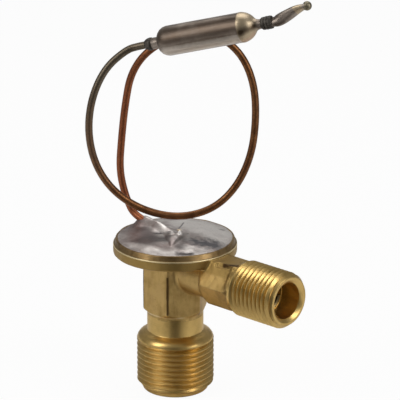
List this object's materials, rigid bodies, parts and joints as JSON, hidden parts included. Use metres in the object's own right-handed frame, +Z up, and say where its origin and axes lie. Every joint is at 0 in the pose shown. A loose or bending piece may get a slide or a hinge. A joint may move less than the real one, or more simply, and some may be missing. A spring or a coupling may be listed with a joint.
{
  "type": "thermostatic expansion valve",
  "caption": "Angle-pattern refrigerant expansion valve: forged brass body with male threaded inlet and outlet, diaphragm head, and a sensing bulb on a looped capillary tube.",
  "frame": {"origin": "centre of the outlet's end face, which the valve stands on", "axes": "+Z up the valve axis towards the diaphragm head, +X along the inlet branch"},
  "size_m": [0.0641, 0.0396, 0.1191],
  "materials": {
    "forged_brass": "hot-forged brass, machined bright on the turned faces",
    "turned_brass": "turned brass",
    "soft_solder": "dull tin solder, rippled",
    "plated_steel": "plated steel",
    "stainless": "stainless steel",
    "copper": "drawn copper, heat-browned",
    "bulb_copper": "spun copper, oxidised grey-brown",
    "black_braze": "blackened by the torch",
    "tip_solder": "drop of solder, olive brown",
    "seal_rubber": "matt rubber"
  },
  "bodies": {
    "valve": {"valve_body": "forged_brass", "diaphragm": "stainless", "head_cover": "plated_steel", "cover_solder": "soft_solder", "superheat_spring": "stainless", "seat_ring": "stainless", "rod_guide": "turned_brass", "rod_seal": "seal_rubber", "seal_retainer": "stainless", "strainer_collar": "turned_brass", "strainer_mesh": "stainless", "strainer_cap": "turned_brass", "strainer_clip": "stainless", "capillary_tube": "copper", "bulb_shell": "bulb_copper", "bulb_neck_braze": "black_braze", "fill_collar": "black_braze", "fill_tube": "bulb_copper", "fill_tube_bead": "tip_solder"},
    "stem": {"pressure_pad": "turned_brass", "push_rod": "stainless", "valve_ball": "stainless", "ball_carrier": "turned_brass", "damping_clip": "stainless"},
    "adjuster": {"adjusting_nut": "turned_brass"}
  },
  "joints": [
    {"name": "valve_stroke", "type": "slide", "parent": "valve", "child": "stem", "axis": [0, 0, -1], "range_m": [0, 0.0006], "stiffness_N_per_m": 1000, "springref_m": -0.002, "deforming": ["superheat_spring"]},
    {"name": "adjuster_turn", "type": "hinge", "parent": "valve", "child": "adjuster", "pos_m": [0, 0, 0.0046], "axis": [0, 0, 1], "range_deg": [-180, 180]}
  ]
}
